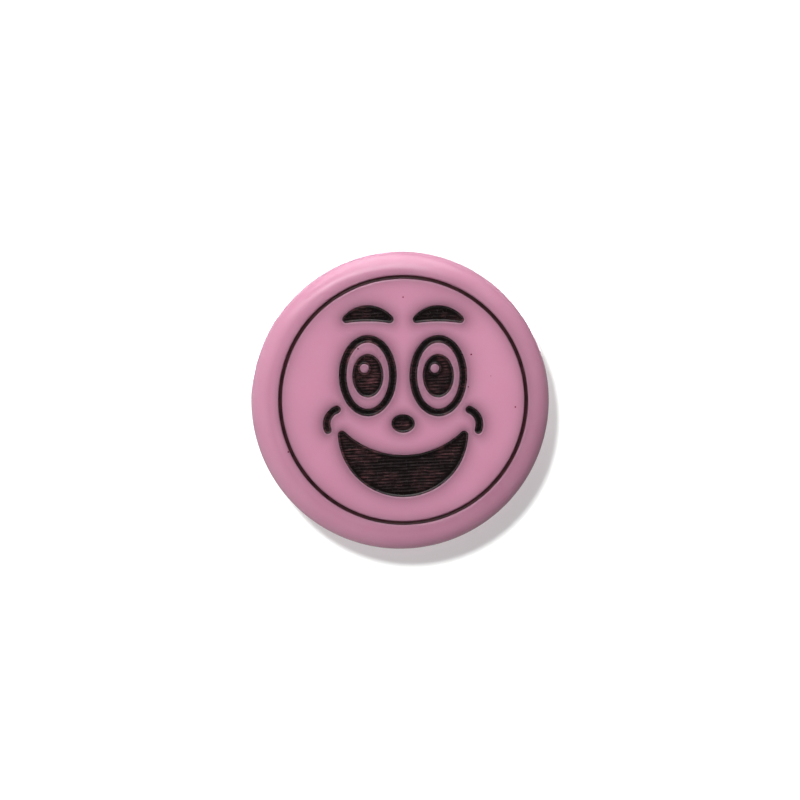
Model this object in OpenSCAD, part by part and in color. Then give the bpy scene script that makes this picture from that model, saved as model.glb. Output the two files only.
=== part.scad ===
// Round engraved plastic badge with a bar pin and a rotating safety catch on its back.
// It is modelled as worn: +Z is up, the face looks along -Y and the cloth is on the +Y side.
// The origin is the centre of the disc's flat back.

/* [Badge disc] */
// Diameter of the disc
badge_d = 38.1; // [37:0.1:60]
// Thickness of the disc
badge_t = 5.5; // [4.5:0.1:8]
// Radius of the rounding around the face
edge_round = 2.9; // [1:0.1:3]
// Radius of the rounding around the back
back_round = 0.4; // [0.2:0.1:0.8]

/* [Engraving] */
// Depth of the face's pockets
engrave_depth = 0.7; // [0.4:0.1:0.9]
// Width of the engraved strokes
stroke_w = 1; // [0.6:0.05:1.1]
// Radius of the ring around the face
ring_r = 15.7; // [15:0.1:16]
// Width of the ring's groove
ring_w = 0.5; // [0.3:0.05:0.8]
// Depth of the ring's groove
ring_depth = 0.4; // [0.3:0.05:0.6]
// Distance of the engraving's centre to the right of the disc's centre
art_shift = 0.4; // [0:0.1:0.6]
// Thickness of the paint in the pockets
paint_t = 0.15; // [0.1:0.05:0.25]
// Gap between the paint and the pocket's wall
paint_gap = 0.03; // [0.02:0.01:0.06]

/* [Eyes and brows] */
// Distance of each eye from the face's middle line
eye_x = 4.5; // [4.3:0.1:5]
// Height of the eyes' centres
eye_z = 3.1; // [2.8:0.1:3.3]
// Width of an eye over its outline
eye_w = 7.4; // [6.8:0.1:7.6]
// Height of an eye over its outline
eye_h = 10.4; // [9.6:0.1:10.8]
// Width of a pupil
pupil_w = 4; // [3:0.1:4.2]
// Height of a pupil
pupil_h = 5.6; // [4.4:0.1:6.4]
// Diameter of the plain glint left in a pupil
glint_d = 1.1; // [0.8:0.1:1.3]
// Width of a brow
brow_w = 7.6; // [6:0.1:8]
// Thickness of a brow at its middle
brow_t = 2.1; // [1.4:0.1:2.2]
// Height of the brows' ends
brow_z = 9.6; // [9.5:0.1:10]

/* [Nose, mouth and cheeks] */
// Width of the nose
nose_w = 3; // [2:0.1:4]
// Height of the nose
nose_h = 2.4; // [1.6:0.1:3]
// Height of the nose's centre
nose_z = -3; // [-3.4:0.1:-2.6]
// Width of the mouth between its corners
mouth_w = 16.6; // [13:0.1:17]
// Height of the mouth's corners
mouth_z = -3.1; // [-4:0.1:-2.8]
// Drop from the corners to the middle of the upper lip
lip_drop = 3.9; // [3:0.1:4.5]
// Drop from the corners to the bottom of the mouth
mouth_drop = 9.3; // [7:0.1:9.6]
// Radius of a cheek line about the mouth's corner
cheek_r = 2; // [1.9:0.1:2.6]
// Angle that a cheek line covers on each side of its middle
cheek_angle = 46; // [20:1:55]
// Tilt of a cheek line's middle above level
cheek_tilt = 24; // [0:1:40]

/* [Bar pin] */
// Length of the bar
bar_l = 25.4; // [25:0.1:27]
// Width of the bar
bar_w = 5; // [4.5:0.1:6]
// Thickness of the bar
bar_t = 0.6; // [0.4:0.1:0.8]
// Height of the bar above the badge's centre
bar_z = 4; // [0:0.5:8]
// Distance of each bar screw from the bar's middle
screw_x = 5; // [3:0.5:6]
// Distance of the hinge from the bar's middle
hinge_x = 11; // [10.8:0.1:11.2]
// Radius of the needle
needle_r = 0.4; // [0.35:0.01:0.42]
// Distance of the needle's axis from the disc's back
needle_y = 3.6; // [3.4:0.1:4.2]
// Distance of the needle's tip from the bar's middle
tip_x = 14.2; // [13:0.1:15]

/* [Hidden] */
$fn = 64;

pink = [0.75, 0.49, 0.6];
black_paint = [0.13, 0.09, 0.09];
nickel = [0.78, 0.77, 0.74];
left = -1;
right = 1;
e = 0.01;                        // overshoot of a cutting shape
arc_step = 0.4;                  // length of the straight steps along an outline

badge_r = badge_d / 2;
brow_end_r = 0.5;                // round ends of a brow
mouth_end_r = 0.55;              // round corners of the mouth
brow_rise = 2.5;                 // from a brow's ends to the top of its arch

screw_r = 0.6;
screw_head_r = 1.2;
screw_head_t = 0.45;
screw_depth = 2.6;
screw_slot_w = 0.3;
drill_gap = 0.05;                // around a screw or rivet in its hole

base_t = 0.4;                    // sheet of the hinge and the catch where it lies on the bar
ear_t = 0.5;
ear_r = 1.35;
eye_t = 1.2;                     // flattened eye of the needle
eye_r = 1.1;
eye_gap = 0.05;                  // between the needle's eye and each ear
rivet_r = 0.4;
rivet_head_r = 0.75;
rivet_head_t = 0.3;
ear_in = eye_t / 2 + eye_gap;
ear_out = ear_in + ear_t;

shoulder_r = 0.58;               // swage between the needle's eye and its shaft
shaft_x0 = 1.7 - hinge_x;
shaft_x1 = 8.5;                  // the shaft tapers beyond this place
point_x = 11.8;                  // and the point begins here
point_r = 0.3;
tip_r = 0.04;

catch_x0 = 9.3;                  // the catch's ring, along the needle
catch_x1 = 11.3;
catch_out_r = 2.1;
catch_in_r = 1.5;
catch_slot = 1.1;                // slot that lets the needle in
collar_r = 1.44;
collar_bore_r = 0.56;
rim_r = 1.85;
rim_t = 0.35;
rim_gap = 0.03;
tab_l = 3.5;                     // from the needle's axis to the end of the thumb tab
tab_w = 1.1;
tab_angle = -55;                 // from straight away from the disc, towards the top
foot_w = 1.6;

// ---- Outlines, drawn on the face with x to the right and y upwards ----

// Points along an arc, without its last one, so that arcs join end to end.
function arc(centre, r, from, to) =
    let (n = max(6, ceil(abs(to - from) * PI / 180 * r / arc_step)))
    [for (i = [0:n - 1]) let (a = from + (to - from) * i / n) centre + r * [cos(a), sin(a)]];

// Radius of the arc that spans a half chord and rises or drops by sag.
function sag_radius(half, sag) = (half * half + sag * sag) / (2 * sag);

// A crescent below its chord: it reaches down to deep, is hollowed to shallow,
// has corners of radius end_r, and is drawn in by gap all round.
function crescent(half, deep, shallow, end_r, gap) =
    let (
        r1 = sag_radius(half, deep), y1 = r1 - deep,
        r2 = sag_radius(half, shallow), y2 = r2 - shallow,
        reach1 = r1 - end_r, reach2 = r2 + end_r,
        y = (reach1 ^ 2 - reach2 ^ 2 + y2 ^ 2 - y1 ^ 2) / (2 * (y2 - y1)),
        x = sqrt(reach1 ^ 2 - (y - y1) ^ 2),
        a1 = atan2(y - y1, x),
        a2 = atan2(y - y2, x)
    )
    concat(
        arc([0, y1], r1 - gap, 180 - a1, 360 + a1),
        arc([x, y], end_r - gap, a1, a2 + 180),
        arc([0, y2], r2 + gap, a2, -180 - a2),
        arc([-x, y], end_r - gap, -a2, 180 - a1)
    );

// A stroke of width w along an arc about the origin, with round ends.
function bent_stroke(r, angle, w) =
    concat(
        arc([0, 0], r + w / 2, -angle, angle),
        arc(r * [cos(angle), sin(angle)], w / 2, angle, angle + 180),
        arc([0, 0], r - w / 2, angle, -angle),
        arc(r * [cos(angle), -sin(angle)], w / 2, 180 - angle, 360 - angle)
    );

function ellipse(w, h) =
    let (n = ceil(PI * (w + h) / 2 / arc_step))
    [for (i = [0:n - 1]) let (a = 360 * i / n) [w / 2 * cos(a), h / 2 * sin(a)]];

module ring_art(gap = 0) {
    difference() {
        circle(ring_r + ring_w / 2 - gap, $fn = 128);
        circle(ring_r - ring_w / 2 + gap, $fn = 128);
    }
}

module brow_art(side, gap = 0) {
    translate([side * eye_x, brow_z])
        mirror([0, 1])
        polygon(crescent(brow_w / 2, brow_rise, brow_rise - brow_t, brow_end_r, gap));
}

module eye_outline_art(side, gap = 0) {
    in = stroke_w - gap;
    translate([side * eye_x, eye_z])
        difference() {
            polygon(ellipse(eye_w - 2 * gap, eye_h - 2 * gap));
            polygon(ellipse(eye_w - 2 * in, eye_h - 2 * in));
        }
}

module pupil_art(side, gap = 0) {
    translate([side * eye_x, eye_z])
        difference() {
            polygon(ellipse(pupil_w - 2 * gap, pupil_h - 2 * gap));
            translate([-pupil_w / 9, pupil_h / 6])
                circle(glint_d / 2 + gap);
        }
}

module nose_art(gap = 0) {
    translate([0, nose_z])
        polygon(ellipse(nose_w - 2 * gap, nose_h - 2 * gap));
}

module mouth_art(gap = 0) {
    translate([0, mouth_z])
        polygon(crescent(mouth_w / 2, mouth_drop, lip_drop, mouth_end_r, gap));
}

module cheek_art(side, gap = 0) {
    translate([side * (mouth_w / 2 - mouth_end_r), mouth_z])
        mirror([side == left ? 1 : 0, 0])
        rotate(cheek_tilt)
        polygon(bent_stroke(cheek_r, cheek_angle, stroke_w - 2 * gap));
}

// A layer of the face between two depths below its surface.
module face_layer(top, bottom) {
    translate([art_shift, bottom - badge_t, 0])
        rotate([90, 0, 0])
        linear_extrude(bottom - top)
        children();
}

module pocket() {
    face_layer(-e, engrave_depth)
        children();
}

module pocket_paint() {
    color(black_paint)
        face_layer(engrave_depth - paint_t, engrave_depth)
        children();
}

// ---- The disc and its paint ----

module disc_blank() {
    rotate([90, 0, 0])
        rotate_extrude($fn = 128)
        union() {
            square([badge_r - edge_round, badge_t]);
            square([badge_r - back_round, badge_t - edge_round]);
            translate([0, back_round])
                square([badge_r, badge_t - edge_round - back_round]);
            intersection() {
                translate([badge_r - edge_round, badge_t - edge_round])
                    circle(edge_round);
                square([badge_r, badge_t]);
            }
            translate([badge_r - back_round, back_round])
                circle(back_round);
        }
}

module badge_disc() {
    color(pink)
        difference() {
            disc_blank();
            face_layer(-e, ring_depth) ring_art();
            for (side = [left, right]) {
                pocket() brow_art(side);
                pocket() eye_outline_art(side);
                pocket() pupil_art(side);
                pocket() cheek_art(side);
            }
            pocket() nose_art();
            pocket() mouth_art();
            for (side = [left, right])
                translate([side * screw_x, 0, bar_z])
                    rotate([90, 0, 0])
                    translate([0, 0, -e])
                    cylinder(r = screw_r + drill_gap, h = screw_depth + drill_gap + e);
        }
}

module ring_paint() {
    color(black_paint)
        face_layer(ring_depth - paint_t, ring_depth)
        ring_art(paint_gap);
}

module left_brow_paint() { pocket_paint() brow_art(left, paint_gap); }
module right_brow_paint() { pocket_paint() brow_art(right, paint_gap); }
module left_eye_outline_paint() { pocket_paint() eye_outline_art(left, paint_gap); }
module right_eye_outline_paint() { pocket_paint() eye_outline_art(right, paint_gap); }
module left_pupil_paint() { pocket_paint() pupil_art(left, paint_gap); }
module right_pupil_paint() { pocket_paint() pupil_art(right, paint_gap); }
module nose_paint() { pocket_paint() nose_art(paint_gap); }
module mouth_paint() { pocket_paint() mouth_art(paint_gap); }
module left_cheek_paint() { pocket_paint() cheek_art(left, paint_gap); }
module right_cheek_paint() { pocket_paint() cheek_art(right, paint_gap); }

// ---- The bar and its screws ----

module pin_bar() {
    end_x = bar_l / 2 - bar_w / 2;
    color(nickel)
        translate([0, bar_t, bar_z])
        rotate([90, 0, 0])
        difference() {
            linear_extrude(bar_t)
                union() {
                    square([2 * end_x, bar_w], center = true);
                    for (side = [left, right])
                        translate([side * end_x, 0])
                            circle(bar_w / 2);
                }
            for (side = [left, right])
                translate([side * screw_x, 0, -e])
                    cylinder(r = screw_r + drill_gap, h = bar_t + 2 * e);
        }
}

module bar_screws() {
    color(nickel)
        for (side = [left, right])
            translate([side * screw_x, bar_t, bar_z])
                rotate([-90, 0, 0])
                difference() {
                    union() {
                        cylinder(r = screw_head_r, h = screw_head_t);
                        translate([0, 0, -bar_t - screw_depth])
                            cylinder(r = screw_r, h = bar_t + screw_depth + e);
                    }
                    translate([0, 0, screw_head_t])
                        cube([2 * screw_head_r + e, screw_slot_w, screw_head_t], center = true);
                }
}

// ---- The hinge ----

module hinge_bracket() {
    color(nickel)
        translate([-hinge_x, 0, bar_z])
        difference() {
            translate([0, 0, -ear_out])
                linear_extrude(2 * ear_out)
                union() {
                    translate([0, needle_y])
                        circle(ear_r);
                    translate([-ear_r, bar_t])
                        square([2 * ear_r, needle_y - bar_t]);
                }
            translate([-ear_r - e, bar_t + base_t, -ear_in])
                cube([2 * ear_r + 2 * e, needle_y + ear_r, 2 * ear_in]);
            translate([0, needle_y, -ear_out - e])
                cylinder(r = rivet_r + drill_gap / 2, h = 2 * ear_out + 2 * e);
        }
}

module hinge_rivet() {
    color(nickel)
        translate([-hinge_x, needle_y, bar_z])
        union() {
            cylinder(r = rivet_r, h = 2 * ear_out + 2 * e, center = true);
            for (side = [left, right])
                translate([0, 0, side * (ear_out + rivet_head_t / 2)])
                    cylinder(r = rivet_head_r, h = rivet_head_t, center = true);
        }
}

module pin_needle() {
    color(nickel)
        translate([0, needle_y, bar_z])
        difference() {
            union() {
                translate([-hinge_x, 0, 0])
                    cylinder(r = eye_r, h = eye_t, center = true);
                rotate([0, 90, 0]) {
                    translate([0, 0, rivet_r + drill_gap - hinge_x])
                        cylinder(r = shoulder_r, h = shaft_x0 + hinge_x - rivet_r - drill_gap);
                    translate([0, 0, shaft_x0])
                        cylinder(r = needle_r, h = shaft_x1 - shaft_x0);
                    translate([0, 0, shaft_x1])
                        cylinder(r1 = needle_r, r2 = point_r, h = point_x - shaft_x1);
                    translate([0, 0, point_x])
                        cylinder(r1 = point_r, r2 = tip_r, h = tip_x - point_x);
                }
            }
            translate([-hinge_x, 0, 0])
                cylinder(r = rivet_r + drill_gap, h = eye_t + 2 * e, center = true);
        }
}

// ---- The safety catch ----

// A slice of the catch between two places along the needle. Its outline is drawn about
// the needle's axis, with x away from the disc and y upwards.
module slice(x0, x1) {
    translate([x0, needle_y, bar_z])
        rotate([90, 0, 90])
        linear_extrude(x1 - x0)
        children();
}

// A round opening about the needle, with a slot that lets the needle in.
module needle_opening(r, reach) {
    circle(r);
    translate([0, -catch_slot / 2])
        square([reach + e, catch_slot]);
}

module catch_body() {
    color(nickel)
        slice(catch_x0, catch_x1)
        difference() {
            union() {
                circle(catch_out_r);
                translate([bar_t - needle_y, -foot_w / 2])
                    square([needle_y - bar_t, foot_w]);
                translate([bar_t - needle_y, base_t - bar_w / 2])
                    square([base_t, bar_w - 2 * base_t]);
            }
            needle_opening(catch_in_r, catch_out_r);
        }
}

// The collar's ring, with or without its thumb tab.
module collar_outline(r, tab = false) {
    difference() {
        union() {
            circle(r);
            if (tab)
                rotate(tab_angle) {
                    translate([0, -tab_w / 2])
                        square([tab_l - tab_w / 2, tab_w]);
                    translate([tab_l - tab_w / 2, 0])
                        circle(tab_w / 2);
                }
        }
        needle_opening(collar_bore_r, r);
    }
}

module catch_lock() {
    in_x0 = catch_x0 - rim_gap;
    in_x1 = catch_x1 + rim_gap;
    color(nickel)
        union() {
            slice(in_x0 - rim_t, in_x0) collar_outline(rim_r);
            slice(in_x0, in_x1) collar_outline(collar_r);
            slice(in_x1, in_x1 + rim_t) collar_outline(rim_r, tab = true);
        }
}

badge_disc();
ring_paint();
left_brow_paint();
right_brow_paint();
left_eye_outline_paint();
right_eye_outline_paint();
left_pupil_paint();
right_pupil_paint();
nose_paint();
mouth_paint();
left_cheek_paint();
right_cheek_paint();
pin_bar();
bar_screws();
hinge_bracket();
hinge_rivet();
pin_needle();
catch_body();
catch_lock();
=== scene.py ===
"""Looks of the engraved plastic badge: a glossy pink disc with enamel in its engraving,
and a nickel-plated bar pin on its back. Lengths are in millimetres until a mesh is made."""

import math

import bmesh
import bpy
import numpy as np
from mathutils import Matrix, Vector
from mathutils.geometry import delaunay_2d_cdt
from mathutils.kdtree import KDTree


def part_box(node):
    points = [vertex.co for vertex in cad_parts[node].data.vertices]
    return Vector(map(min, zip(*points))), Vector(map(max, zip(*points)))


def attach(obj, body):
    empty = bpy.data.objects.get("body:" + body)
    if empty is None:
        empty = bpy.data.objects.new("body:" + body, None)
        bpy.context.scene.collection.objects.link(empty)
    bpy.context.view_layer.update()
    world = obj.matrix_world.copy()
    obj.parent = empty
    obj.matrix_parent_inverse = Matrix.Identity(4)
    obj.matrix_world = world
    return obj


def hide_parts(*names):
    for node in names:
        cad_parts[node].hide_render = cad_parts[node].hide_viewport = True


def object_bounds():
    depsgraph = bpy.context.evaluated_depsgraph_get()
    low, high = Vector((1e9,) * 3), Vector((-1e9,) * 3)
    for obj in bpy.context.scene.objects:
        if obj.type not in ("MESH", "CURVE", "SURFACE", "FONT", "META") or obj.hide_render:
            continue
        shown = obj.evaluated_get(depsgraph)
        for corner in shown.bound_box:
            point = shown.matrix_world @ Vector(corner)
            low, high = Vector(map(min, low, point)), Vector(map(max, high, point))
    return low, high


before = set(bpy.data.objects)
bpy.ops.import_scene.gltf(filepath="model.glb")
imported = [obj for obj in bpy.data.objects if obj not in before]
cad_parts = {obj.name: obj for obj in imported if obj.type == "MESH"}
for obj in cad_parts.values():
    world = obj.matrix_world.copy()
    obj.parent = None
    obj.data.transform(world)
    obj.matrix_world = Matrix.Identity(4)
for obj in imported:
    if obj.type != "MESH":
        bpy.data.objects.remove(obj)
CAD_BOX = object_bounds()

MM = 0.001
X, Y, Z = 0, 1, 2


def node_box(node):
    """Both corners of a CAD node's box in mm."""
    low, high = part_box(node)
    return np.array(low) / MM, np.array(high) / MM


# The disc, from the frame
DISC_LO, DISC_HI = node_box("badge_disc")
DISC_R = (DISC_HI[X] - DISC_LO[X]) / 2
DISC_T = DISC_HI[Y] - DISC_LO[Y]
EDGE_ROUND = 2.9                    # rounding around the face
BACK_ROUND = 0.4                    # rounding around the back
FLAT_R = DISC_R - EDGE_ROUND
FACE_EDGE_R = FLAT_R + 0.6          # the engraved face ends and the plain rounding begins here
DISC_STEPS = 288                    # points around the disc
EDGE_STEPS = 22                     # outlines down the rounding around the face
BACK_STEPS = 7                      # and down the one around the back
BACK_FLAT_EDGE = 0.2                # flat strip beside the back's rounding

# The engraving
PAINT_GAP = 0.03                    # between a CAD paint node and its pocket's wall
POCKET_DEPTH = DISC_T + node_box("mouth_paint")[1][Y]
RING_DEPTH = DISC_T + node_box("ring_paint")[1][Y]
FACE_GRID = 0.42                    # distance between the face's inner points
FACE_CLEAR = 0.12                   # between the face's inner points and any outline
PAINTED_SHADE = "painted_shade"           # attribute with painted shade: the share of the plastic's colour that is kept beside the engraving and over the rim
SHADE_REACH = 0.85                  # how far the painted shade reaches from the engraving
POCKET_SHADE = 0.55                  # painted shade: share by which the colour is darkened right beside a pocket
RING_SHADE = 0.35                    # and right beside the ring groove
RIM_SHADE = 0.12                     # painted shade: share by which the colour is darkened over the rounded rim
RIM_START = 0.6                     # width over which that painted shade sets in
LIP_SHADE_LIMIT = 0.68                    # a pocket's rounded lip keeps at least this share of its colour under the painted shade
LIP_R = 0.15                        # rounded, unpainted lip of a pocket
LIP_STEPS = 4
LIP_MARGIN = 0.03                   # flat strip around a lip, which keeps the face's shading level
POCKET_DRAFT = 0.16                 # how far a pocket's wall leans in from its opening to its floor
RING_DRAFT = 0.08
LOOP_STEP = 0.13                    # distance between the points of an outline
HATCH_PITCH = 0.4                   # one pass of the cutter
HATCH_HEIGHT = 0.065                # from the bottom of a pass to the ridge beside it
HATCH_TILT = math.radians(3)
HATCH_CLEAR = 0.45                  # beside a wall, where the ridges fade out
HATCH_ROWS = 6                      # points across one pass
HATCH_STEP = 0.22                   # distance between the points along a pass
COAT_GAP = 0.004                    # between the enamel and the floor below it
COAT_SKIN = 0.008                   # between the enamel and the wall beside it
COAT_T = 0.14                       # enamel on a pocket's floor
RING_COAT_T = 0.1
HATCH_BASE = 0.16                   # bottoms of the passes, above the pocket's floor

POCKETS = [
    "left_brow", "right_brow", "left_eye_outline", "right_eye_outline", "left_pupil", "right_pupil",
    "nose", "mouth", "left_cheek", "right_cheek",
]


# ---- Outlines: arrays of points in mm, with the inside on the left ----

def unit(vectors):
    return vectors / np.linalg.norm(vectors, axis=-1, keepdims=True)


def right_of(vectors):
    return np.stack([vectors[:, 1], -vectors[:, 0]], axis=1)


def circle(r, count, centre=(0, 0), clockwise=False):
    turn = np.arange(count) / count * 2 * math.pi * (-1 if clockwise else 1)
    return np.array(centre) + r * np.stack([np.cos(turn), np.sin(turn)], axis=1)


def offset(loop, distance):
    """The outline moved away from its inside by distance, with mitred corners."""
    ahead = right_of(unit(np.roll(loop, -1, 0) - loop))
    behind = np.roll(ahead, 1, 0)
    mitre = 1 + (ahead * behind).sum(axis=1, keepdims=True)
    return loop + distance * (ahead + behind) / np.maximum(mitre, 0.3)


def cap_loops(node, axis, high, u, v):
    """Outlines of a CAD node's flat end across an axis, as u runs right and v runs up."""
    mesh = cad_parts[node].data
    points = [tuple(round(c / MM, 4) for c in vertex.co) for vertex in mesh.vertices]
    level = (max if high else min)(p[axis] for p in points)
    edges = set()
    for face in mesh.polygons:
        corners = [points[i] for i in face.vertices]
        if any(abs(c[axis] - level) > 0.002 for c in corners):
            continue
        flat = [(c[u], c[v]) for c in corners]
        (ax, ay), (bx, by), (cx, cy) = flat[:3]
        area = (bx - ax) * (cy - ay) - (by - ay) * (cx - ax)
        if area < 0:
            flat.reverse()
        if abs(area) > 1e-9:
            edges.update(zip(flat, flat[1:] + flat[:1]))
    follows = {a: b for a, b in edges if (b, a) not in edges}
    loops = []
    while follows:
        start = min(follows)
        loop = [start]
        while (point := follows.pop(loop[-1])) != start:
            loop.append(point)
        loops.append(np.array(loop))
    return loops


def tangents(loop, straight, corner):
    """The directions in which the outline's curve reaches and leaves each point."""
    ahead = np.roll(loop, -1, 0) - loop
    length = np.linalg.norm(ahead, axis=1)
    ahead = ahead / length[:, None]
    behind, before = np.roll(ahead, 1, 0), np.roll(length, 1)
    reach = (behind * length[:, None] + ahead * before[:, None]) / (length + before)[:, None]
    leave = reach.copy()
    for i in range(len(loop)):
        turn = math.acos(np.clip(ahead[i] @ behind[i], -1, 1))
        long_before, long_after = before[i] > straight, length[i] > straight
        if turn > corner:
            reach[i], leave[i] = behind[i], ahead[i]
        elif long_before or long_after:
            reach[i] = leave[i] = behind[i] if long_before else ahead[i]
    return reach, leave, length


def smooth(loop, step=LOOP_STEP, straight=0.8, corner=math.radians(55)):
    """The outline with points about step apart: corners and long sides stay, the rest is curved."""
    reach, leave, length = tangents(loop, straight, corner)
    made = []
    for i, size in enumerate(length):
        j = (i + 1) % len(loop)
        t = np.arange(max(1, round(size / step)))[:, None] / max(1, round(size / step))
        if size > straight:
            made.append(loop[i] + (loop[j] - loop[i]) * t)
            continue
        made.append(
            (2 * t**3 - 3 * t**2 + 1) * loop[i] + (t**3 - 2 * t**2 + t) * size * leave[i]
            + (3 * t**2 - 2 * t**3) * loop[j] + (t**3 - t**2) * size * reach[j]
        )
    return np.concatenate(made)


def fill(loops, inner=()):
    """Points and triangles that fill the outlines and leave their holes open."""
    points, edges = [], []
    for loop in loops:
        first, count = len(points), len(loop)
        points += [Vector(p) for p in loop]
        edges += [(first + i, first + (i + 1) % count) for i in range(count)]
    points += [Vector(p) for p in inner]
    made, _, triangles, *_ = delaunay_2d_cdt(points, edges, [], 0, 1e-7)
    made = np.array([tuple(p) for p in made])
    triangles = np.array([tuple(face) for face in triangles])
    return made, triangles[inside(made[triangles].mean(axis=1), loops)].tolist()


def inside(points, loops, margin=0):
    """Which points lie inside the outlines and at least margin away from their points."""
    within = np.zeros(len(points), bool)
    near = np.zeros(len(points), bool)
    for loop in loops:
        following = np.roll(loop, -1, 0)
        for a, b in zip(loop, following):
            crosses = (a[1] > points[:, 1]) != (b[1] > points[:, 1])
            if crosses.any():
                reach = a[0] + (points[:, 1] - a[1]) / (b[1] - a[1]) * (b[0] - a[0])
                within ^= crosses & (points[:, 0] < reach)
            if margin:
                near |= ((points - a) ** 2).sum(axis=1) < margin**2
    return within & ~near


def distances(points, loops):
    """How far each point is from the nearest point of the outlines."""
    outline = np.concatenate(loops)
    tree = KDTree(len(outline))
    for i, point in enumerate(outline):
        tree.insert((*point, 0), i)
    tree.balance()
    return np.array([tree.find((*point, 0))[2] for point in points])


# ---- Meshes ----

class Shell:
    """Collects the faces of one closed piece. place turns (u, v, height) in mm into (x, y, z)."""

    def __init__(self, place):
        self.place = place
        self.points, self.faces = [], []

    def add(self, loop, height):
        first = len(self.points)
        heights = np.broadcast_to(height, len(loop))
        self.points += [self.place(u, v, h) for (u, v), h in zip(loop, heights)]
        return first

    def band(self, loops, heights):
        """A closed band through outlines that have the same number of points."""
        starts = [self.add(loop, height) for loop, height in zip(loops, heights)]
        count = len(loops[0])
        for a, b in zip(starts, starts[1:]):
            for i in range(count):
                j = (i + 1) % count
                self.faces.append((a + i, a + j, b + j, b + i))

    def cap(self, loops, height, inner=()):
        """A filled face. height is a number, or a function of the points."""
        points, triangles = fill(loops, inner)
        first = self.add(points, height(points) if callable(height) else height)
        self.faces += [tuple(first + i for i in triangle) for triangle in triangles]

    def piece(self, name, smooth_below=40):
        mesh = bpy.data.meshes.new(name)
        mesh.from_pydata([Vector(p) * MM for p in self.points], [], self.faces)
        return finished(name, mesh, smooth_below)


def finished(name, mesh, smooth_below):
    """Welds a mesh, turns its faces outwards, shades it and makes its object."""
    work = bmesh.new()
    work.from_mesh(mesh)
    bmesh.ops.remove_doubles(work, verts=work.verts, dist=0.0004 * MM)
    bmesh.ops.recalc_face_normals(work, faces=work.faces)
    work.to_mesh(mesh)
    work.free()
    mesh.shade_smooth()
    mesh.set_sharp_from_angle(angle=math.radians(smooth_below))
    piece = bpy.data.objects.new(name, mesh)
    bpy.context.scene.collection.objects.link(piece)
    return piece


def on_face(u, v, height):
    """A place on the badge's face: x, z and the height above the face."""
    return (u, -DISC_T - height, v)


def quarter_round(loop, r, top, steps, outwards):
    """Outlines and heights of a rounding that starts r away from loop at the top and ends on it."""
    turn = np.linspace(0, math.pi / 2, steps + 1)
    side = 1 if outwards else -1
    return (
        [offset(loop, side * r * (1 - math.sin(a))) for a in turn],
        [top - r * (1 - math.cos(a)) for a in turn],
    )


# ---- The disc ----

def face_drop(points):
    """How far the rounding lowers the face at each point."""
    past = np.maximum(np.linalg.norm(points, axis=1) - FLAT_R, 0)
    return EDGE_ROUND - np.sqrt(EDGE_ROUND**2 - past**2)


def pocket_loops(feature):
    """The wall lines of a pocket, where its opening meets the face."""
    rough = cap_loops(feature + "_paint", Y, False, X, Z)
    return [offset(smooth(loop), PAINT_GAP) for loop in rough]


def pocket_sizes(feature):
    """Depth and draft of a pocket or of the ring groove."""
    return (RING_DEPTH, RING_DRAFT) if feature == "ring" else (POCKET_DEPTH, POCKET_DRAFT)


def add_pocket(shell, feature):
    """A pocket's lip, wall and floor in the disc. Returns the outlines that the face leaves open."""
    depth, draft = pocket_sizes(feature)
    floor, edges = [], []
    for loop in pocket_loops(feature):
        rounding, heights = quarter_round(loop, LIP_R, 0, LIP_STEPS, outwards=True)
        margin = offset(loop, LIP_R + LIP_MARGIN)
        foot = offset(loop, -draft)
        drop = face_drop(loop)
        shell.band([margin, *rounding, foot], [-face_drop(margin), *[h - drop for h in heights], -depth])
        floor.append(foot)
        edges.append(margin[::-1])
    shell.cap(floor, -depth)
    return edges


def pilot_hole(shell, centre, r, depth):
    """A screw's blind hole in the disc's back. Returns the outline that the back leaves open."""
    mouth = circle(r, 32, centre)
    shell.band([mouth, mouth], [-DISC_T, -DISC_T + depth])
    shell.cap([mouth], -DISC_T + depth)
    return mouth[::-1]


def make_disc():
    shell = Shell(on_face)
    openings = []
    for feature in ["ring", *POCKETS]:
        openings += add_pocket(shell, feature)
    rim = circle(FACE_EDGE_R, DISC_STEPS)
    support = np.concatenate([circle(r, 180) for r in (FLAT_R, FLAT_R + 0.2, FLAT_R + 0.4)])
    across = np.arange(-FLAT_R, FLAT_R, FACE_GRID)
    grid = np.stack(np.meshgrid(across, across), axis=-1).reshape(-1, 2)
    support = np.concatenate([support, grid[np.linalg.norm(grid, axis=1) < FLAT_R - 0.2]])
    support = support[inside(support, [rim, *openings], FACE_CLEAR)]
    shell.cap([rim, *openings], lambda points: -face_drop(points), inner=support)

    start = math.asin((FACE_EDGE_R - FLAT_R) / EDGE_ROUND)
    profile = [
        (FLAT_R + EDGE_ROUND * math.sin(a), EDGE_ROUND * (math.cos(a) - 1))
        for a in np.linspace(start, math.pi / 2, EDGE_STEPS)
    ]
    profile += [
        (DISC_R - BACK_ROUND * (1 - math.cos(a)), -DISC_T + BACK_ROUND * (1 - math.sin(a)))
        for a in np.linspace(0, math.pi / 2, BACK_STEPS)
    ]
    back_r = DISC_R - BACK_ROUND - BACK_FLAT_EDGE
    profile.append((back_r, -DISC_T))
    shell.band([circle(r, DISC_STEPS) for r, _ in profile], [h for _, h in profile])

    screws_lo, screws_hi = node_box("bar_screws")
    head_r = (screws_hi[Z] - screws_lo[Z]) / 2
    screw_z = screws_lo[Z] + head_r
    hole_r, hole_depth = head_r * 0.54, -screws_lo[Y] + 0.05
    holes = [
        pilot_hole(shell, (x, screw_z), hole_r, hole_depth)
        for x in (screws_lo[X] + head_r, screws_hi[X] - head_r)
    ]
    shell.cap([circle(back_r, DISC_STEPS), *holes], -DISC_T)
    disc = shell.piece("disc", smooth_below=50)
    add_painted_shade(disc)
    return disc


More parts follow.
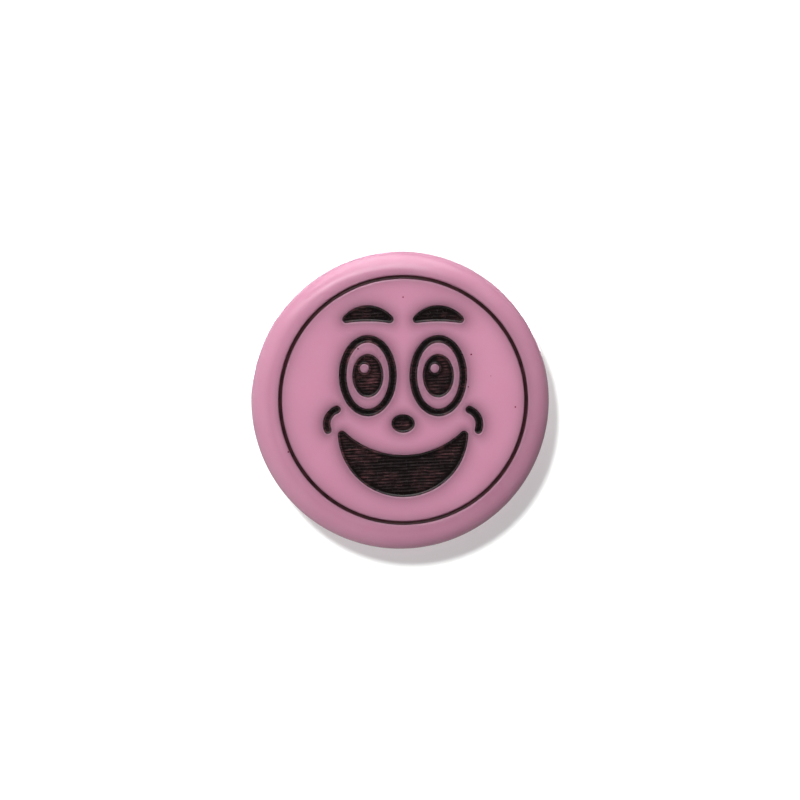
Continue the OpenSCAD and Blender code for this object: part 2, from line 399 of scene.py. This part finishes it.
def add_painted_shade(disc):
    """Stores painted shade: the share of its colour that the plastic keeps.

    It is darkened beside the dark paint and over the rim, as painted shade that stands in for light lost
    there.
    """
    corners = np.array([tuple(vertex.co) for vertex in disc.data.vertices]) / MM
    from_axis = np.hypot(corners[:, X], corners[:, Z])
    unshaded_share = np.ones(len(corners))
    # painted shade beside the ring groove and beside the pockets
    for features, shade_share in ((["ring"], RING_SHADE), (POCKETS, POCKET_SHADE)):
        outlines = [loop for feature in features for loop in pocket_loops(feature)]
        unshaded_share *= 1 - shade_share * np.exp(-distances(corners[:, [X, Z]], outlines) / SHADE_REACH)
    # painted shade over the rounded rim
    unshaded_share *= 1 - RIM_SHADE * np.clip((from_axis - FLAT_R) / RIM_START, 0, 1)
    # the painted shade is held back on a pocket's rounded lip, so the lip stays lighter
    on_lip = (corners[:, Y] > LIP_MARGIN / 4 - DISC_T) & (from_axis < FLAT_R)
    unshaded_share[on_lip] = np.maximum(unshaded_share[on_lip], LIP_SHADE_LIMIT)
    attribute = disc.data.attributes.new(PAINTED_SHADE, "FLOAT", "POINT")
    attribute.data.foreach_set("value", unshaded_share.astype(np.float32))


# ---- The enamel ----

def hatch(points, seed):
    """Height of the cutter's ridges above a pocket's floor."""
    u = points[:, 0] * math.cos(HATCH_TILT) + points[:, 1] * math.sin(HATCH_TILT)
    v = points[:, 1] * math.cos(HATCH_TILT) - points[:, 0] * math.sin(HATCH_TILT)
    wander = 0.05 * np.sin(u * 1.7 + seed) + 0.03 * np.sin(u * 4.1 + v * 2.3 + 2 * seed)
    phase = v / HATCH_PITCH + wander
    row = np.floor(phase)
    cusp = (2 * (phase - row) - 1) ** 2
    uneven = 0.7 + 0.25 * np.sin(row * 2.9 + u * 0.8 + seed) + 0.1 * np.sin(u * 6.3 + row * 5.1)
    return HATCH_HEIGHT * cusp * uneven


def hatch_points(loops):
    """Points in rows along the cutter's passes, inside the outlines."""
    low = np.min([loop.min(axis=0) for loop in loops], axis=0) - 1
    high = np.max([loop.max(axis=0) for loop in loops], axis=0) + 1
    rows = np.arange(low[1], high[1], HATCH_PITCH / HATCH_ROWS)
    columns = np.arange(low[0], high[0], HATCH_STEP)
    u, v = np.meshgrid(columns, rows)
    u = u + HATCH_STEP / 2 * (np.arange(len(rows)) % 2)[:, None]
    c, s = math.cos(HATCH_TILT), math.sin(HATCH_TILT)
    points = np.stack([(u * c - v * s).ravel(), (u * s + v * c).ravel()], axis=1)
    return points[inside(points, loops, 0.07)]


def make_enamel(feature, seed):
    """A closed coat on a pocket's wall and floor. Its floor follows the cutter's ridges."""
    ring = feature == "ring"
    depth, draft = pocket_sizes(feature)
    top, floor = -LIP_R - 0.01, -depth + (RING_COAT_T if ring else COAT_T)
    shell = Shell(on_face)
    tops, bottoms = [], []
    for loop in pocket_loops(feature):
        drop = face_drop(loop)
        steps = [                   # way in from the wall line, and height
            (draft + COAT_SKIN, -depth + COAT_GAP),
            (COAT_SKIN + 0.02, top - drop),
            (COAT_SKIN + 0.035, top - 0.012 - drop),
            (0.09 + draft * 0.5, floor + 0.16 * (depth - 0.2)),
        ]
        if ring:
            steps.append((0.16, floor))
        else:
            steps += [(0.13 + draft * 0.8, floor + 0.035), (0.17 + draft, floor + 0.02)]
        outlines = [offset(loop, -way_in) for way_in, _ in steps]
        shell.band(outlines, [height for _, height in steps])
        tops.append(outlines[-1])
        bottoms.append(outlines[0])

    def ridges(points):
        rise = np.clip(distances(points, tops) / HATCH_CLEAR, 0, 1)
        return -depth + HATCH_BASE + rise * hatch(points, seed)

    if ring:
        shell.cap(tops, floor)
    else:
        shell.cap(tops, ridges, inner=hatch_points(tops))
    shell.cap(bottoms, -depth + COAT_GAP)
    return shell.piece(feature + "_enamel", smooth_below=60)


# ---- The bar pin ----

BEVEL_STEPS = 4
BEVEL_FLAT = 0.02                   # flat strip inside a bevel, which keeps the face's shading level
SEAT = 0.004                        # between a head and the part below it
EAR_T = 0.5                         # sheet of the hinge's ears
BASE_T = 0.4                        # sheet of the hinge where it lies on the bar
RIM_T = 0.35                        # rims of the lock
SHAFT_R = 0.4                       # the needle and the rivet


def on_back(u, v, height):
    """A place behind the disc: x, z and the distance from its back."""
    return (u, height, v)


def across_needle(u, v, height):
    """A place in a slice of the catch: y, z and x."""
    return (height, u, v)


def across_rivet(u, v, height):
    """A place in a plate of the hinge: x, y and z."""
    return (u, v, height)


def plate(name, place, loops, low, high, bevel):
    """A plate of that outline between two heights, with rounded edges."""
    shell = Shell(place)
    faces = []
    for loop in loops:
        rounding, drops = quarter_round(loop, bevel, 0, BEVEL_STEPS, outwards=False)
        margin = offset(loop, -bevel - BEVEL_FLAT)
        outlines = [margin, *rounding, *rounding[::-1], margin]
        heights = [high, *[high + d for d in drops], *[low - d for d in drops[::-1]], low]
        shell.band(outlines, heights)
        faces.append(margin)
    shell.cap(faces, high)
    shell.cap(faces, low)
    return shell.piece(name)


def turned(name, profile, centre, axis, steps=48, smooth_below=35):
    """A piece turned about an axis. profile is (place along the axis, radius) from end to end."""
    others = [(Y, Z), (Z, X), (X, Y)][axis]

    def place(u, v, height):
        point = [0.0, 0.0, 0.0]
        point[axis] = centre[axis] + height
        point[others[0]] = centre[others[0]] + u
        point[others[1]] = centre[others[1]] + v
        return tuple(point)

    shell = Shell(place)
    shell.band([circle(r, steps) for _, r in profile], [along for along, _ in profile])
    for along, r in (profile[0], profile[-1]):
        shell.cap([circle(r, steps)], along)
    return shell.piece(name, smooth_below)


def combined(name, first, others, operation="UNION", smooth_below=35):
    """One closed piece made from first and the others, which are then removed."""
    for other in others:
        cut = first.modifiers.new("cut", "BOOLEAN")
        cut.operation, cut.object, cut.solver = operation, other, "EXACT"
    bpy.context.view_layer.update()
    evaluated = first.evaluated_get(bpy.context.evaluated_depsgraph_get())
    mesh = bpy.data.meshes.new_from_object(evaluated)
    mesh.name = name
    for used in (first, *others):
        bpy.data.objects.remove(used)
    return finished(name, mesh, smooth_below)


def node_loops(node, axis, high, u, v):
    return [smooth(loop) for loop in cap_loops(node, axis, high, u, v)]


def rounded_box(name, place, low, high, bevel):
    """A box between two corners, given as (u, v, height), with its edges along the height rounded."""
    outline = np.array([(low[0], low[1]), (high[0], low[1]), (high[0], high[1]), (low[0], high[1])])
    return plate(name, place, [smooth(outline, step=0.3)], low[2], high[2], bevel)


def make_bar():
    """The stamped bar, which lies flat on the disc's back."""
    low, high = node_box("pin_bar")
    outline = node_loops("pin_bar", Y, True, X, Z)
    return plate("plated_bar", on_back, outline, low[Y], high[Y], bevel=0.12)


def make_screw(name, x):
    """A slotted screw with a domed head. Its shank is plain where the bar and disc hide it."""
    low, high = node_box("bar_screws")
    head_r = (high[Z] - low[Z]) / 2
    shank_r, end_r, end_l = head_r / 2, 0.42, 0.2
    bar_top = node_box("pin_bar")[1][Y]
    seat, edge = bar_top + SEAT, bar_top + 0.15
    z = (high[Z] + low[Z]) / 2
    profile = [(low[Y], end_r), (low[Y] + end_l, shank_r), (seat, shank_r), (seat, head_r - 0.03)]
    profile += [
        (edge + (high[Y] - edge) * math.sin(a), head_r * math.cos(a) ** 0.5)
        for a in np.linspace(0, 1.36, 9)
    ]
    head = turned(name, profile, (x, 0, z), Y)
    half_w, slot_depth, past = 0.15, 0.24, 1
    slot_low = (x - head_r - past, z - half_w, high[Y] - slot_depth)
    slot_high = (x + head_r + past, z + half_w, high[Y] + past)
    slot = rounded_box(name + "_slot", on_back, slot_low, slot_high, bevel=0.03)
    return combined(name, head, [slot], "DIFFERENCE")


def make_hinge():
    """The folded hinge: two ears on a base."""
    low, high = node_box("hinge_bracket")
    outline = node_loops("hinge_bracket", Z, False, X, Y)
    ears = [
        plate("ear", across_rivet, outline, z, z + EAR_T, bevel=0.06)
        for z in (low[Z], high[Z] - EAR_T)
    ]
    inset, lift = 0.05, 0.005       # keeps the base's faces off the ears' own
    base_low = (low[X] + inset, low[Y] + lift, low[Z] + EAR_T / 2)
    base_high = (high[X] - inset, low[Y] + BASE_T, high[Z] - EAR_T / 2)
    base = rounded_box("base", across_rivet, base_low, base_high, bevel=0.02)
    return combined("plated_hinge", ears[0], [ears[1], base])


def make_rivet():
    """The hinge's rivet, with a domed head at each end."""
    low, high = node_box("hinge_rivet")
    ear_low, ear_high = node_box("hinge_bracket")
    centre = (low + high) / 2
    half, ear = (high[Z] - low[Z]) / 2, (ear_high[Z] - ear_low[Z]) / 2
    head_r, edge = (high[X] - low[X]) / 2, 0.05
    dome = [
        (ear + edge + (half - ear - edge) * math.sin(a), head_r * math.cos(a) ** 0.7)
        for a in np.linspace(0, 1.42, 9)
    ]
    upper = [(ear + SEAT, SHAFT_R), (ear + SEAT, head_r - 0.04), *dome]
    profile = [(-along, r) for along, r in upper[::-1]] + upper
    return turned("plated_rivet", profile, centre, Z)


def make_needle():
    """The drawn wire with its flattened, drilled eye and its long ground point."""
    low, high = node_box("pin_needle")
    centre_y, centre_z = low[Y] + (high[Y] - low[Y]) / 2, (low[Z] + high[Z]) / 2
    eye_r = (high[Y] - low[Y]) / 2
    eye_x = low[X] + eye_r
    hole_r, shoulder_r, point_r, tip_r, end_r = 0.45, 0.58, 0.3, 0.035, 0.012
    shoulder_end, swage, taper_start, point_start = -9.3, 0.25, 8.5, 11.8
    outline = [
        circle(eye_r, 64, (eye_x, centre_y)),
        circle(hole_r, 40, (eye_x, centre_y), clockwise=True),
    ]
    eye = plate("eye", across_rivet, outline, low[Z], high[Z], bevel=0.16)
    profile = [
        (eye_x + 0.62, shoulder_r - 0.05),
        (eye_x + 0.7, shoulder_r),
        (shoulder_end - swage, shoulder_r),
    ]
    profile += [
        (shoulder_end - swage * math.cos(a), shoulder_r - (shoulder_r - SHAFT_R) * math.sin(a) ** 2)
        for a in np.linspace(0.2, math.pi / 2, 6)
    ]
    profile += [(x, SHAFT_R) for x in np.linspace(shoulder_end + 1, taper_start, 18)]
    profile += [
        (x, SHAFT_R + (point_r - SHAFT_R) * (x - taper_start) / (point_start - taper_start))
        for x in np.linspace(taper_start + 0.4, point_start - 0.2, 6)
    ]
    profile += [
        (x, tip_r + (point_r - tip_r) * (1 - (x - point_start) / (high[X] - point_start)) ** 0.9)
        for x in np.linspace(point_start, high[X] - 0.02, 12)
    ]
    profile.append((high[X], end_r))
    shaft = turned("shaft", profile, (0, centre_y, centre_z), X)
    return combined("pin_wire", eye, [shaft])


def make_catch():
    """The catch's fixed ring on its foot."""
    low, high = node_box("catch_body")
    outline = node_loops("catch_body", X, False, Y, Z)
    return plate("plated_catch", across_needle, outline, low[X], high[X], bevel=0.06)


def make_lock():
    """The turning collar: a rim at each end and a thumb tab on one of them."""
    low, high = node_box("catch_lock")
    overlap, collar_r, bore_r, half_slot = 0.03, 1.44, 0.56, 0.55
    needle_low, needle_high = node_box("pin_needle")
    centre = ((needle_low[Y] + needle_high[Y]) / 2, (needle_low[Z] + needle_high[Z]) / 2)
    open_out, open_in = math.asin(half_slot / collar_r), math.asin(half_slot / bore_r)
    ring = [(collar_r, a) for a in np.linspace(open_out, 2 * math.pi - open_out, 72)]
    ring += [(bore_r, a) for a in np.linspace(2 * math.pi - open_in, open_in, 40)]
    outline = np.array([(centre[0] + r * math.cos(a), centre[1] + r * math.sin(a)) for r, a in ring])
    near_rim, far_rim = (node_loops("catch_lock", X, high_end, Y, Z) for high_end in (False, True))
    near_end, far_end = low[X] + RIM_T, high[X] - RIM_T
    near = plate("rim", across_needle, near_rim, low[X], near_end, bevel=0.05)
    far = plate("tab", across_needle, far_rim, far_end, high[X], bevel=0.05)
    collar = plate("collar", across_needle, [outline], near_end - overlap, far_end + overlap, bevel=0.01)
    return combined("plated_lock", near, [collar, far])


# ---- Materials ----

class Finish:
    """A node-based material. The texture space is in mm, in the frame's own axes."""

    def __init__(self, name, **sockets):
        self.material = bpy.data.materials.new(name)
        self.material.use_nodes = True
        self.tree = self.material.node_tree
        self.shader = self.tree.nodes["Principled BSDF"]
        for socket, value in sockets.items():
            self.set(socket.replace("_", " "), value)
        place = self.node("ShaderNodeTexCoord").outputs["Object"]
        self.space = self.node("ShaderNodeVectorMath", operation="SCALE", Vector=place, Scale=1 / MM)

    def set(self, socket, value):
        target = self.shader.inputs[socket]
        if isinstance(value, bpy.types.NodeSocket):
            self.tree.links.new(value, target)
        else:
            target.default_value = value

    def node(self, kind, **settings):
        """A new node. A setting is a property, an input by its name, or I0, I1 and so on by its place."""
        made = self.tree.nodes.new(kind)
        for key, value in settings.items():
            name = key.replace("_", " ")
            if hasattr(made, key) and not key[0].isupper():
                setattr(made, key, value)
                continue
            by_place = key[0] == "I" and key[1:].isdigit()
            target = made.inputs[int(key[1:]) if by_place else name]
            if isinstance(value, bpy.types.Node):
                value = value.outputs[0]
            if isinstance(value, bpy.types.NodeSocket):
                self.tree.links.new(value, target)
            else:
                target.default_value = value
        return made

    def stretched(self, x, y, z):
        return self.node("ShaderNodeVectorMath", operation="MULTIPLY", I0=self.space, I1=(x, y, z))

    def noise(self, per_mm, detail=2.0, space=None):
        space = space or self.space
        made = self.node("ShaderNodeTexNoise", Vector=space, Scale=per_mm, Detail=detail, Roughness=0.55)
        return made.outputs["Fac"]

    def spots(self, per_mm, size, share):
        """1 inside small round spots, on about that share of the cells."""
        cells = self.node("ShaderNodeTexVoronoi", Vector=self.space, Scale=per_mm)
        near = self.math("LESS_THAN", cells.outputs["Distance"], size * per_mm)
        lot = self.node("ShaderNodeSeparateColor", Color=cells.outputs["Color"]).outputs[0]
        chosen = self.math("LESS_THAN", lot, share)
        return self.math("MULTIPLY", near, chosen)

    def math(self, operation, a, b):
        return self.node("ShaderNodeMath", operation=operation, I0=a, I1=b).outputs[0]

    def between(self, value, low, high, start=0.0, end=1.0):
        """start where value is low, end where it is high, and even steps between."""
        limits = dict(From_Min=low, From_Max=high, To_Min=start, To_Max=end)
        return self.node("ShaderNodeMapRange", Value=value, **limits).outputs[0]

    def mix(self, share, a, b):
        made = self.node("ShaderNodeMix", data_type="RGBA")
        for index, value in ((0, share), (6, a), (7, b)):
            if isinstance(value, bpy.types.NodeSocket):
                self.tree.links.new(value, made.inputs[index])
            else:
                made.inputs[index].default_value = value if index == 0 else (*value, 1)
        return made.outputs[2]

    def bump(self, height, depth_mm, strength=1.0):
        made = self.node("ShaderNodeBump", Height=height, Distance=depth_mm * MM, Strength=strength)
        self.set("Normal", made.outputs[0])


def pink_plastic():
    """Glossy, slightly translucent moulded plastic with faint mottling, a few specks, and painted shade
    beside the engraving and over the rim.
    """
    finish = Finish(
        "pink_plastic", Subsurface_Weight=1.0, Subsurface_Radius=(1.0, 1.0, 1.0), Subsurface_Scale=4.0 * MM,
        Roughness=0.24, IOR=1.49, Specular_IOR_Level=0.32,
    )
    cloud = finish.between(finish.noise(0.16, 1.0), 0.2, 0.8)
    colour = finish.mix(cloud, (0.428, 0.195, 0.283), (0.454, 0.215, 0.304))
    colour = finish.mix(finish.spots(0.35, 0.11, 0.2), colour, (0.13, 0.01, 0.02))
    # painted shade: the colour is darkened towards black by the stored share, beside the engraving and over
    # the rim
    light = finish.node("ShaderNodeAttribute", attribute_name=PAINTED_SHADE).outputs["Fac"]
    finish.set("Base Color", finish.mix(light, (0.0, 0.0, 0.0), colour))
    finish.bump(finish.noise(0.9, 5.0), 0.01)
    return finish.material


def groove_paint():
    """The same enamel where it is thin and even, along the ring groove."""
    finish = Finish("groove_enamel", IOR=1.5, Specular_IOR_Level=0.2, Roughness=0.28)
    cloud = finish.between(finish.noise(1.2, 3.0), 0.3, 0.7)
    finish.set("Base Color", finish.mix(cloud, (0.012, 0.003, 0.004), (0.028, 0.008, 0.010)))
    finish.bump(finish.noise(7.0, 3.0), 0.006)
    return finish.material


def enamel_paint():
    """Glossy black-brown enamel with a painted grey sheen on the cutter's ridges, worn to a red-brown in
    patches.
    """
    finish = Finish("enamel", IOR=1.5, Specular_IOR_Level=0.22)
    depth = finish.node("ShaderNodeSeparateXYZ", Vector=finish.space).outputs["Y"]
    coat_y = -DISC_T + POCKET_DEPTH - COAT_T
    ridge = finish.between(depth, coat_y - 0.01, coat_y - 0.07)
    patch = finish.between(finish.noise(0.32, 3.0), 0.48, 0.66)
    streak = finish.between(finish.noise(1.0, 3.0, finish.stretched(0.7, 1, 5)), 0.42, 0.68)
    worn = finish.math("MULTIPLY", finish.math("MULTIPLY", ridge, patch), streak)
    cloud = finish.between(finish.noise(2.2, 3.0), 0.3, 0.7)
    colour = finish.mix(cloud, (0.0006, 0.0002, 0.0002), (0.003, 0.001, 0.001))
    # painted highlight: a dull grey sheen on the cutter's ridges, in patches, standing in for their glints
    sheen_patches = finish.between(finish.noise(1.0, 3.0, finish.stretched(0.4, 1, 3)), 0.28, 0.55)
    painted_sheen = finish.math("MULTIPLY", finish.math("POWER", ridge, 1.7), sheen_patches)
    colour = finish.mix(painted_sheen, colour, (0.028, 0.021, 0.022))
    colour = finish.mix(worn, colour, (0.13, 0.048, 0.056))
    finish.set("Base Color", colour)
    finish.set("Roughness", finish.between(finish.noise(3.0, 3.0), 0.3, 0.7, 0.16, 0.30))
    finish.bump(finish.noise(7.0, 3.0), 0.006)
    return finish.material


def plated_nickel():
    """Nickel plate on stamped steel, with handling scuffs."""
    finish = Finish("nickel_plate", Metallic=1.0)
    stain = finish.between(finish.noise(0.5, 4.0), 0.35, 0.7)
    finish.set("Base Color", finish.mix(stain, (0.86, 0.84, 0.79), (0.76, 0.73, 0.67)))
    scuff = finish.noise(1.0, 5.0, finish.stretched(0.6, 5, 5))
    finish.set("Roughness", finish.between(scuff, 0.3, 0.7, 0.16, 0.36))
    finish.bump(finish.noise(2.0, 3.0), 0.005)
    return finish.material


def drawn_steel():
    """Polished wire with fine lines along its length."""
    finish = Finish("drawn_steel", Metallic=1.0)
    lines = finish.noise(1.0, 4.0, finish.stretched(0.25, 14, 14))
    shade = finish.between(lines, 0.35, 0.65)
    finish.set("Base Color", finish.mix(shade, (0.62, 0.62, 0.63), (0.5, 0.5, 0.52)))
    finish.set("Roughness", finish.between(lines, 0.3, 0.7, 0.18, 0.32))
    finish.bump(lines, 0.004)
    return finish.material


def backdrop_white():
    """Matt white that is only there from the front, so that the badge's back can be seen through it."""
    finish = Finish("backdrop", Base_Color=(0.65, 0.69, 0.67, 1), Roughness=0.9, Specular_IOR_Level=0.0,
                    Emission_Color=(1, 1, 1, 1), Emission_Strength=0.215)
    links, nodes = finish.tree.links, finish.tree.nodes
    behind = finish.node("ShaderNodeNewGeometry").outputs["Backfacing"]
    clear = finish.node("ShaderNodeBsdfTransparent").outputs[0]
    shown = finish.node("ShaderNodeMixShader").inputs
    links.new(behind, shown[0])
    links.new(finish.shader.outputs[0], shown[1])
    links.new(clear, shown[2])
    links.new(shown[0].node.outputs[0], nodes["Material Output"].inputs[0])
    return finish.material


# ---- Camera, lights and backdrop ----

VIEW_W = 102.4                      # width that the camera takes in at the disc's widest place
LENS = 300
SENSOR = 36
ROOM_ENDS = [(-1.0, 0.10), (1.0, 0.45)]     # level right behind the camera, and right behind the badge
ROOM_BETWEEN = [(-0.86, 0.18), (-0.70, 0.76), (-0.1, 0.50), (0.3, 0.52)]
ROOM_SIDE = 9.4                     # hour on the clock towards which the room is lightest
ROOM_LEAN = 0.58                    # how much lighter it is there
ROOM_SHOWN = 1.06                   # the room as the camera sees it
BACKDROP_HALF = 2.0                 # half its side, in metres
BACKDROP_GAP = 0.3                  # from the badge's rearmost point


def make_camera():
    data = bpy.data.cameras.new("camera")
    data.lens, data.sensor_width = LENS, SENSOR
    camera = bpy.data.objects.new("camera", data)
    away = VIEW_W * LENS / SENSOR + DISC_T - EDGE_ROUND
    camera.location = (0, -away * MM, 0)
    camera.rotation_euler = (math.radians(90), 0, 0)
    bpy.context.scene.collection.objects.link(camera)
    bpy.context.scene.camera = camera


def direction(clock, off_axis):
    """Towards a light: clock is the hour at which it stands, off_axis its angle from the camera's line."""
    turn = clock / 12 * 2 * math.pi
    lean = math.radians(off_axis)
    return Vector((math.sin(lean) * math.sin(turn), -math.cos(lean), math.sin(lean) * math.cos(turn)))


def make_key(clock, off_axis, level, angle):
    """The main light, which casts the badge's shadow. It is angle degrees wide and has no reflection."""
    data = bpy.data.lights.new("key", "SUN")
    data.energy, data.angle = level * math.pi, math.radians(angle)
    light = bpy.data.objects.new("key", data)
    light.rotation_euler = direction(clock, off_axis).to_track_quat("Z", "Y").to_euler()
    light.visible_glossy = False
    bpy.context.scene.collection.objects.link(light)


def make_softbox(name, clock, off_axis, distance, size, level, lit):
    """A light of that size in metres, at that distance. level is roughly what it gives at the badge,
    where 1 lights white to white. One that isn't lit is only seen as a reflection."""
    data = bpy.data.lights.new(name, "AREA")
    data.shape, data.size, data.size_y = "RECTANGLE", size[0], size[1]
    data.energy = level * 4 * math.pi * distance**2
    light = bpy.data.objects.new(name, data)
    towards = direction(clock, off_axis)
    light.location = towards * distance
    light.rotation_euler = towards.to_track_quat("Z", "Y").to_euler()
    light.visible_diffuse = lit
    bpy.context.scene.collection.objects.link(light)


def make_room():
    """Soft light from all around: more of it from the left, and little from beside the lens."""
    world = bpy.data.worlds.new("room")
    world.use_nodes = True
    nodes, links = world.node_tree.nodes, world.node_tree.links
    background = nodes["Background"]
    background.inputs["Color"].default_value = (1.0, 0.99, 0.98, 1)
    place = nodes.new("ShaderNodeTexCoord").outputs["Generated"]
    depth = nodes.new("ShaderNodeVectorMath")
    depth.operation = "DOT_PRODUCT"
    links.new(place, depth.inputs[0])
    depth.inputs[1].default_value = (0, 1, 0)
    around = nodes.new("ShaderNodeFloatCurve")
    links.new(depth.outputs["Value"], around.inputs["Value"])
    curve = around.mapping.curves[0]
    around.mapping.clip_min_x, around.mapping.clip_min_y = -1, 0
    for point, place_and_level in zip(curve.points, ROOM_ENDS):
        point.location = place_and_level
    for x, y in ROOM_BETWEEN:
        curve.points.new(x, y)
    around.mapping.update()
    lean = nodes.new("ShaderNodeVectorMath")
    lean.operation = "DOT_PRODUCT"
    links.new(place, lean.inputs[0])
    lean.inputs[1].default_value = direction(ROOM_SIDE, 90) * ROOM_LEAN
    more = nodes.new("ShaderNodeMath")
    more.operation = "ADD"
    links.new(lean.outputs["Value"], more.inputs[0])
    more.inputs[1].default_value = 1
    level = nodes.new("ShaderNodeMath")
    level.operation = "MULTIPLY"
    links.new(around.outputs[0], level.inputs[0])
    links.new(more.outputs[0], level.inputs[1])
    seen = nodes.new("ShaderNodeMix")
    links.new(nodes.new("ShaderNodeLightPath").outputs["Is Camera Ray"], seen.inputs[0])
    links.new(level.outputs[0], seen.inputs[2])
    seen.inputs[3].default_value = ROOM_SHOWN
    links.new(seen.outputs[0], background.inputs["Strength"])
    bpy.context.scene.world = world


def make_stage():
    """The backdrop behind the badge, and all the light."""
    make_room()
    bpy.context.scene.view_settings.view_transform = "Standard"
    mesh = bpy.data.meshes.new("backdrop")
    half, y = BACKDROP_HALF, CAD_BOX[1][Y] + BACKDROP_GAP * MM
    corners = [(-half, y, -half), (half, y, -half), (half, y, half), (-half, y, half)]
    mesh.from_pydata(corners, [], [(0, 1, 2, 3)])
    mesh.materials.append(backdrop_white())
    backdrop = bpy.data.objects.new("backdrop", mesh)
    backdrop.visible_shadow = False
    backdrop.visible_diffuse = False
    backdrop.visible_glossy = False
    bpy.context.scene.collection.objects.link(backdrop)

    make_key(clock=10.9, off_axis=17.5, level=1.12, angle=6)
    for name, clock, off_axis, distance, size, level, lit in [
        ("top_box", 11.8, 82, 0.15, (0.16, 0.12), 0.86, True),
        ("streak", 10.6, 56, 0.50, (0.30, 0.05), 0.13, False),
        ("glow", 11.6, 42, 0.50, (0.28, 0.20), 0.44, False),
        ("back_box", 10.5, 155, 0.40, (0.20, 0.20), 0.6, True),
        ("back_strip", 12.5, 168, 0.35, (0.30, 0.05), 0.3, True),
    ]:
        make_softbox(name, clock, off_axis, distance, size, level, lit)


make_camera()
make_stage()

# ---- The pieces ----

pieces = [
    (make_disc(), "badge_disc", "badge", "pink_plastic", pink_plastic()),
]
paint = enamel_paint()
for seed, feature in enumerate(["ring", *POCKETS]):
    coat = groove_paint() if feature == "ring" else paint
    pieces.append((make_enamel(feature, seed), feature + "_paint", "badge", "engraving_paint", coat))

nickel = plated_nickel()
screws_low, screws_high = node_box("bar_screws")
screw_reach = (screws_high[Z] - screws_low[Z]) / 2
pieces += [
    (make_bar(), "pin_bar", "badge", "nickel_plate", nickel),
    (make_screw("left_screw", screws_low[X] + screw_reach), "bar_screws", "badge", "nickel_plate", nickel),
    (make_screw("right_screw", screws_high[X] - screw_reach), "bar_screws", "badge", "nickel_plate", nickel),
    (make_hinge(), "hinge_bracket", "badge", "nickel_plate", nickel),
    (make_rivet(), "hinge_rivet", "badge", "nickel_plate", nickel),
    (make_catch(), "catch_body", "badge", "nickel_plate", nickel),
    (make_lock(), "catch_lock", "lock_collar", "nickel_plate", nickel),
    (make_needle(), "pin_needle", "needle_arm", "needle_steel", drawn_steel()),
]

for piece, node, body, slot, material in pieces:
    piece.data.materials.clear()
    piece.data.materials.append(material)
    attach(piece, body)
    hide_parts(node)
